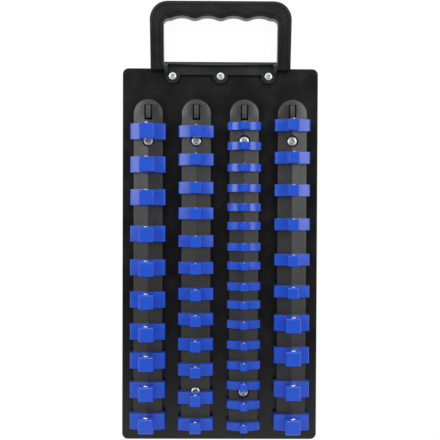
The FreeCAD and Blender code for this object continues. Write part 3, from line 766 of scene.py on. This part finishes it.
# %% Handle
def make_handle():
    outline = []
    for point in handle_outline():
        if not outline or math.dist(point, outline[-1]) > 0.02:
            outline.append(point)
    levels = [(BACK_ROLL, HANDLE_BACK), (0.25, HANDLE_BACK + 0.25), (0.0, HANDLE_BACK + BACK_ROLL)]
    levels += rolled_edge(HANDLE_ROLL, HANDLE_FRONT, (0, 22, 45, 68, 90))
    line_end, line_floor = LINE + LINE_WIDTH, HANDLE_FRONT - LINE_DEPTH
    levels += [(LINE - 0.05, HANDLE_FRONT), (LINE + 0.05, line_floor), (line_end - 0.05, line_floor),
               (line_end + 0.05, HANDLE_FRONT)]
    body = loft("handle", [[(x, y, z) for x, y in inset(outline, amount)] for amount, z in levels])
    heel_y = PANEL_HIGH + 0.1
    drop = math.degrees(math.acos((HINGE_Y - heel_y) / BARREL))
    side = [(HINGE_Y - 0.5, HANDLE_FRONT), (HINGE_Y - 1.3, HINGE_Z + 2.85), (HINGE_Y - 2.7, HINGE_Z + 2.55)]
    side += arc((HINGE_Y, HINGE_Z), BARREL, 137, 180 + drop, 16)
    side += [(heel_y, HANDLE_BACK - 1), (HANDLE_HIGH + 1, HANDLE_BACK - 1),
             (HANDLE_HIGH + 1, HANDLE_FRONT - GRIP_FALL - 0.55), (HANDLE_HIGH, HANDLE_FRONT - GRIP_FALL),
             (HANDLE_HIGH - GRIP_BEVEL, HANDLE_FRONT)]
    boolean(body, [prism("side", side, "x", -70, 70)], "INTERSECT")
    bore = arc((HINGE_Y, HINGE_Z), BORE_RADIUS, 0, 345, 23)
    cut(body, *[prism("bore", bore, "x", x0, x1)
                for x0, x1 in ((-BORE_END, 1 - BRACKET_HALF), (BRACKET_HALF - 1, BORE_END))])
    return soften(body, 0.3, 2, 34)


handle_piece = make_handle()
handle_piece.name = "carry_handle_bow"
dress(handle_piece, handle_abs)
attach(handle_piece, "carry_handle")
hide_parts("carry_handle")
print("handle faces", len(handle_piece.data.polygons))

# %% Hinge pins keep their CAD solid
for obj in bpy.data.objects:
    if obj.name.startswith("hinge_pins"):
        dress(obj, pin_steel)

# %% [markdown]
# A clip is one moulding. Its saddle lies over the rail, its lips grip the flanges from below, and a
# square post stands on top. The two larger sizes have a gabled saddle that follows the rail's roof, and
# the smallest an arched one. The saddle is its section moved along the rail, the post is a loft of
# rounded squares that narrows at its tip, and the bore for the ball is cut last. A bevel then rounds the
# edges and fills the corner between post and saddle.

# %% Clip sizes
# The roof's top level, its radius where it is arched, and the sizes round the rail's flange
BODY, ARCH_R, SADDLE_ROLL, SIDE_WALL, LIP, CLIP_FOOT, PLAY = 13.5, 24.0, 1.6, 2.45, 2.6, 1.5, 0.2
KINDS = {
    "half_inch_clip": dict(post=12.7, length=13.5, height=13.6, ball=5.4, drop=3.9, narrow=0.0, arched=False),
    "three_eighth_clip": dict(post=9.5, length=10.0, height=9.9, ball=4.0, drop=2.9, narrow=0.0, arched=False),
    "quarter_inch_clip": dict(post=6.35, length=6.6, height=6.6, ball=3.0, drop=2.2, narrow=1.45, arched=True),
}
# Shares of the ball's diameter or radius: what stands out, the bore, its mouth, and the spring's room
BALL_OUT, BORE_WIDE, BORE_MOUTH, SPRING_ROOM = 0.26, 1.08, 0.94, 0.7
GABLE = (RIDGE - SHOULDER) / (RAIL_HALF - STRIP)
# The posts' tips and corners, as shares of the post, with limits in millimetres
TIP_CHAMFER, CORNER_SHARE, POST_CORNER, SHARPEST = 0.105, 0.13, 1.1, 0.25


def arch(x):
    return BODY - ARCH_R + math.sqrt(ARCH_R ** 2 - x * x)


def gable(x):
    return BODY - GABLE * x


def saddle_section(half, roof):
    """A clip's section: on each side the roof, its rolled end, the side and the lip."""
    wall = RAIL_HALF + PLAY
    lip = wall - LIP
    turn = half - SADDLE_ROLL
    fall = math.atan((roof(turn) - roof(turn + 0.1)) / 0.1)
    end = turn + SADDLE_ROLL * math.sin(fall)
    right = [(end * i / 10, roof(end * i / 10)) for i in range(10)]
    right += arc((turn, roof(end) - SADDLE_ROLL * math.cos(fall)), SADDLE_ROLL, 90 - math.degrees(fall), 0, 7)
    right += [(half, CLIP_FOOT), (lip, CLIP_FOOT), (lip, UNDERSIDE - PLAY), (wall, UNDERSIDE - PLAY),
              (wall, EDGE + PLAY), (0, RIDGE + PLAY)]
    left = [(-x, z) for x, z in reversed(right) if x > 0.0001]
    return [(x, FACE + z) for x, z in right + left]


def post_ring(size, inset, z):
    """One level of the post: a square with rounded corners."""
    half = size["post"] / 2
    radius = min(POST_CORNER, size["post"] * CORNER_SHARE)
    reach, corner = half - radius, max(radius - inset, SHARPEST)
    ring = []
    for x, y, start in ((reach, reach, 0), (-reach, reach, 90), (-reach, -reach, 180), (reach, -reach, 270)):
        ring += arc((x, half + y), corner, start, start + 90, 5)
    scale = (half - inset) / (reach + corner)
    return [(x * scale, half + (y - half) * scale, FACE + z) for x, y in ring]


def ball_place(size):
    """Where the ball sits: behind the post's face, with about a quarter of it standing out."""
    ball_y = size["post"] - size["ball"] / 2 + size["ball"] * BALL_OUT
    return ball_y, FACE + BODY + size["height"] - size["drop"]


def bore_back(size):
    """The closed end of the bore, behind the ball and its spring."""
    return ball_place(size)[0] - size["ball"] / 2 - size["ball"] * SPRING_ROOM


# %% Clip moulding
def clip_source(kind):
    size = KINDS[kind]
    half = RAIL_HALF + PLAY + SIDE_WALL - size["narrow"] / 2
    top, tip = BODY + size["height"], size["post"] * TIP_CHAMFER
    section = saddle_section(half, arch if size["arched"] else gable)
    body = prism(kind, section, "y", 0, size["length"])
    levels = [(0, RIDGE + 1), (0, top - tip), (tip * 0.45, top - tip * 0.32), (tip, top)]
    join(body, loft("post", [post_ring(size, inset, z) for inset, z in levels]))
    ball_y, ball_z = ball_place(size)
    wide, mouth = size["ball"] / 2 * BORE_WIDE, size["ball"] / 2 * BORE_MOUTH
    bore = [(wide, bore_back(size)), (wide, ball_y), (mouth, size["post"]), (mouth, size["post"] + 1)]
    cut(body, lathe("bore", bore, 28, (0, 0, ball_z), axis="y"))
    return soften(body, 0.42, 3, 40)


# %% [markdown]
# Behind each ball sits a small coil spring, in the same bore. Its wire follows a helix, so a tree draws
# it: a Spiral curve with named inputs for radius, length and turns, swept by a round wire.

# %% A tree that winds a spring
coil_tree = bpy.data.node_groups.new("coil_spring", "GeometryNodeTree")
group_input(coil_tree, "Base", "NodeSocketGeometry")
coil_radius = group_input(coil_tree, "Coil radius", "NodeSocketFloat", 0.001)
coil_length = group_input(coil_tree, "Length", "NodeSocketFloat", 0.002)
coil_turns = group_input(coil_tree, "Turns", "NodeSocketFloat", 4.0)
coil_wire = group_input(coil_tree, "Wire radius", "NodeSocketFloat", 0.0002)
coil_in = add(coil_tree, "NodeGroupInput")
coil_line = add(coil_tree, "GeometryNodeCurveSpiral", {"Resolution": 12},
                {"Rotations": coil_in.outputs["Turns"], "Start Radius": coil_in.outputs["Coil radius"],
                 "End Radius": coil_in.outputs["Coil radius"], "Height": coil_in.outputs["Length"]})
coil_section = add(coil_tree, "GeometryNodeCurvePrimitiveCircle", {"Resolution": 6},
                   {"Radius": coil_in.outputs["Wire radius"]})
coil_sweep = add(coil_tree, "GeometryNodeCurveToMesh", {"Fill Caps": True},
                 {"Curve": coil_line.outputs[0], "Profile Curve": coil_section.outputs[0]})
coil_upright = add(coil_tree, "GeometryNodeTransform", {"Rotation": (-math.pi / 2, 0.0, 0.0)},
                   {"Geometry": coil_sweep.outputs[0]})
finish_tree(coil_tree, coil_upright.outputs[0], {"Material": spring_steel})


def spring_source(size):
    ball_y, ball_z = ball_place(size)
    back, front = bore_back(size), ball_y - size["ball"] / 2 * 0.84
    wire = size["ball"] * 0.045
    obj = bpy.data.objects.new("spring", bpy.data.meshes.new("spring"))
    bpy.context.scene.collection.objects.link(obj)
    apply_tree(obj, coil_tree, {coil_radius: (size["ball"] * 0.31 - wire) * MM, coil_turns: 4.5,
                                coil_length: (front - back - 2 * wire) * MM, coil_wire: wire * MM})
    obj.data.transform(Matrix.Translation(Vector((0, back + wire, ball_z)) * MM))
    obj.data.shade_smooth()
    return obj


def ball_source(size):
    ball_y, ball_z = ball_place(size)
    profile = [(r, ball_y + out) for out, r in reversed(arc((0, 0), size["ball"] / 2, 3, 177, 29))]
    obj = lathe("ball", profile, 28, (0, 0, ball_z), axis="y")
    dress(obj, ball_steel)
    obj.data.shade_smooth()
    return obj


# %% Every clip at its own node's place
clip_nodes = sorted(name for name in frame["nodes"] if "_clip_" in name)
for kind, size in KINDS.items():
    moulding, ball, spring = clip_source(kind), ball_source(size), spring_source(size)
    dress(moulding, clip_polypropylene)
    for name in [n for n in clip_nodes if n.startswith(kind)]:
        low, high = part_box(name)
        spot = ((low[0] + high[0]) / 2 / MM, low[1] / MM, 0)
        for suffix, source in (("moulding", moulding), ("ball", ball), ("spring", spring)):
            piece = place_copy(f"{name}_{suffix}", source, spot)
            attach(piece, name)
            if suffix == "moulding":
                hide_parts(name)
    print(kind, "moulding faces", len(moulding.data.polygons), "spring faces", len(spring.data.polygons))
    for source in (moulding, ball, spring):
        bpy.data.objects.remove(source)

# %% [markdown]
# The tray lies on a pale floor. To the camera and in reflections the floor is nearly white by itself, so
# that the lamps need not be strong, and it still takes the tray's soft shadow.

# %% Floor
FLOOR_HALF, GLOW_SHARE, GLOW = 20000, 0.9, 1.05
floor_paint = bpy.data.materials.new("pale_matt_floor")
floor_paint.use_nodes = True
floor_tree = floor_paint.node_tree
floor_tree.nodes.clear()
rays = add(floor_tree, "ShaderNodeLightPath")
seen = add(floor_tree, "ShaderNodeMath", {"operation": "MAXIMUM"},
           {0: rays.outputs["Is Camera Ray"], 1: rays.outputs["Is Glossy Ray"]})
seen = add(floor_tree, "ShaderNodeMath", {"operation": "MAXIMUM"},
           {0: seen.outputs[0], 1: rays.outputs["Is Transmission Ray"]})
share = add(floor_tree, "ShaderNodeMath", {"operation": "MULTIPLY", 1: GLOW_SHARE}, {0: seen.outputs[0]})
matt = add(floor_tree, "ShaderNodeBsdfDiffuse", {"Color": linear("#e6e6e6")})
glow = add(floor_tree, "ShaderNodeEmission", {"Color": (1, 1, 1, 1), "Strength": GLOW})
mixed = add(floor_tree, "ShaderNodeMixShader", {},
            {0: share.outputs[0], 1: matt.outputs[0], 2: glow.outputs[0]})
add(floor_tree, "ShaderNodeOutputMaterial", {}, {"Surface": mixed.outputs[0]})
corners = [(x * FLOOR_HALF, y * FLOOR_HALF, 0) for x, y in ((-1, -1), (1, -1), (1, 1), (-1, 1))]
floor = solid("floor", corners, [[0, 1, 2, 3]])
dress(floor, floor_paint)

# %% [markdown]
# The light is that of a product studio: a large softbox on each side, reaching further back than forward,
# a weaker one behind and a faint one in front. Straight above it is dark, because the camera hangs there,
# so level faces stay dark and the slopes of the rails and clips catch the softboxes. The room is pale at
# the horizon and dark overhead.

# %% Lamps and world
WATTS, LAMP_HEIGHT = 4.0, 1.02


def softbox(name, x0, x1, y0, y1, radiance):
    """A lamp that faces down from a metre above the tray, between two places across and along it."""
    data = bpy.data.lights.new(name, "AREA")
    data.shape = "RECTANGLE"
    data.size, data.size_y = x1 - x0, y1 - y0
    data.energy = radiance * data.size * data.size_y * WATTS
    lamp = bpy.data.objects.new(name, data)
    lamp.location = ((x0 + x1) / 2, (y0 + y1) / 2, LAMP_HEIGHT)
    bpy.context.scene.collection.objects.link(lamp)


softbox("left_softbox", -1.15, -0.5, 0.0, 0.7, 4.2)
softbox("right_softbox", 0.52, 1.15, -0.08, 0.7, 3.8)
softbox("back_softbox", -0.5, 0.5, 0.52, 1.4, 1.8)
softbox("front_softbox", -0.9, 0.9, -1.3, -0.38, 0.55)

world = bpy.data.worlds.new("pale_room")
bpy.context.scene.world = world
world.use_nodes = True
room = world.node_tree
room.nodes.clear()
towards = add(room, "ShaderNodeTexCoord")
height = add(room, "ShaderNodeSeparateXYZ", {}, {0: towards.outputs["Generated"]})
level = add(room, "ShaderNodeMapRange",
            {"interpolation_type": "SMOOTHSTEP", "From Min": 0.15, "From Max": 0.95,
             "To Min": 0.9, "To Max": 0.06},
            {"Value": height.outputs["Z"]})
sky = add(room, "ShaderNodeBackground", {"Color": (1, 1, 1, 1)}, {"Strength": level.outputs[0]})
add(room, "ShaderNodeOutputWorld", {}, {"Surface": sky.outputs[0]})

# %% [markdown]
# The camera hangs 700 mm over the panel's face. The picture is 440 pixels wide and shows 379 mm at that
# face, which gives the lens angle. The photographer's camera was about one degree off plumb: a fit to the
# edges of the panel, the clips and the posts gave these angles and this place.

# %% Camera
PICTURE_WIDTH, CAMERA_HEIGHT, SENSOR = 379.3, 700.0, 36.0
CAMERA_X, CAMERA_Y, CAMERA_TURN = -6.24, 13.35, (-0.965, -0.512, 0.229)
camera_data = bpy.data.cameras.new("camera")
camera_data.sensor_fit = "HORIZONTAL"
camera_data.sensor_width = SENSOR
camera_data.lens = SENSOR * CAMERA_HEIGHT / PICTURE_WIDTH
camera = bpy.data.objects.new("camera", camera_data)
camera.location = Vector((CAMERA_X, CAMERA_Y, FACE + CAMERA_HEIGHT)) * MM
camera.rotation_euler = [math.radians(turn) for turn in CAMERA_TURN]
bpy.context.scene.collection.objects.link(camera)
bpy.context.scene.camera = camera
bpy.context.scene.view_settings.view_transform = "Standard"
